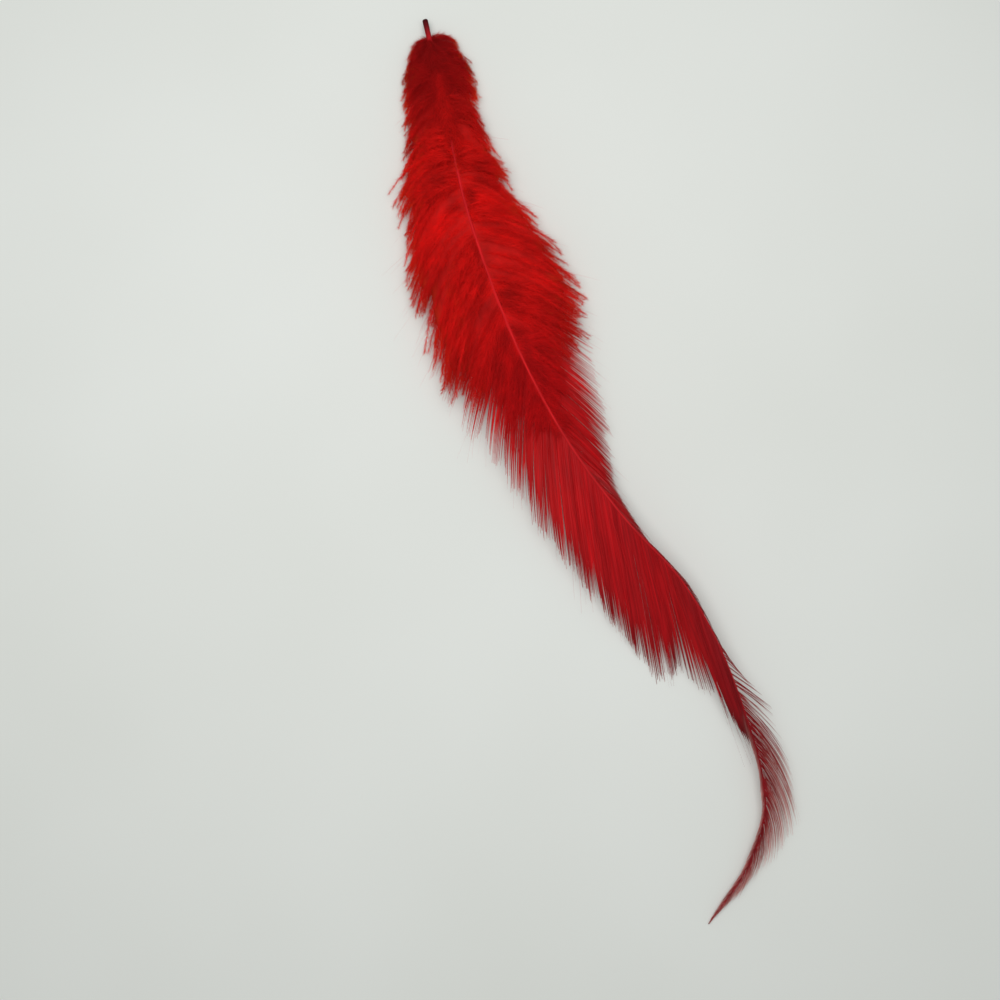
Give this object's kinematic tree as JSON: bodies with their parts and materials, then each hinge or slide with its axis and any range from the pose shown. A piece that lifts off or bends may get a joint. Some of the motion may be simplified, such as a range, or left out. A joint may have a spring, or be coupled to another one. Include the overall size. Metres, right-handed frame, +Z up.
{
  "type": "chicken feather",
  "caption": "Loose dyed-red rooster feather with a bare quill end, downy lower third, silky vane and long curved fringed tip, lying flat.",
  "frame": {"origin": "on the surface that the feather lies on, under the middle of its outline seen from above", "axes": "+Y towards the bare quill end, +X to the right of the feather seen from above with the quill end up, +Z up out of the surface"},
  "size_m": [0.0706, 0.1586, 0.009],
  "materials": {
    "dyed_keratin": "crimson dyed feather keratin, velvety down and silky barbs"
  },
  "bodies": {
    "root": {"feather": "dyed_keratin"}
  },
  "joints": []
}
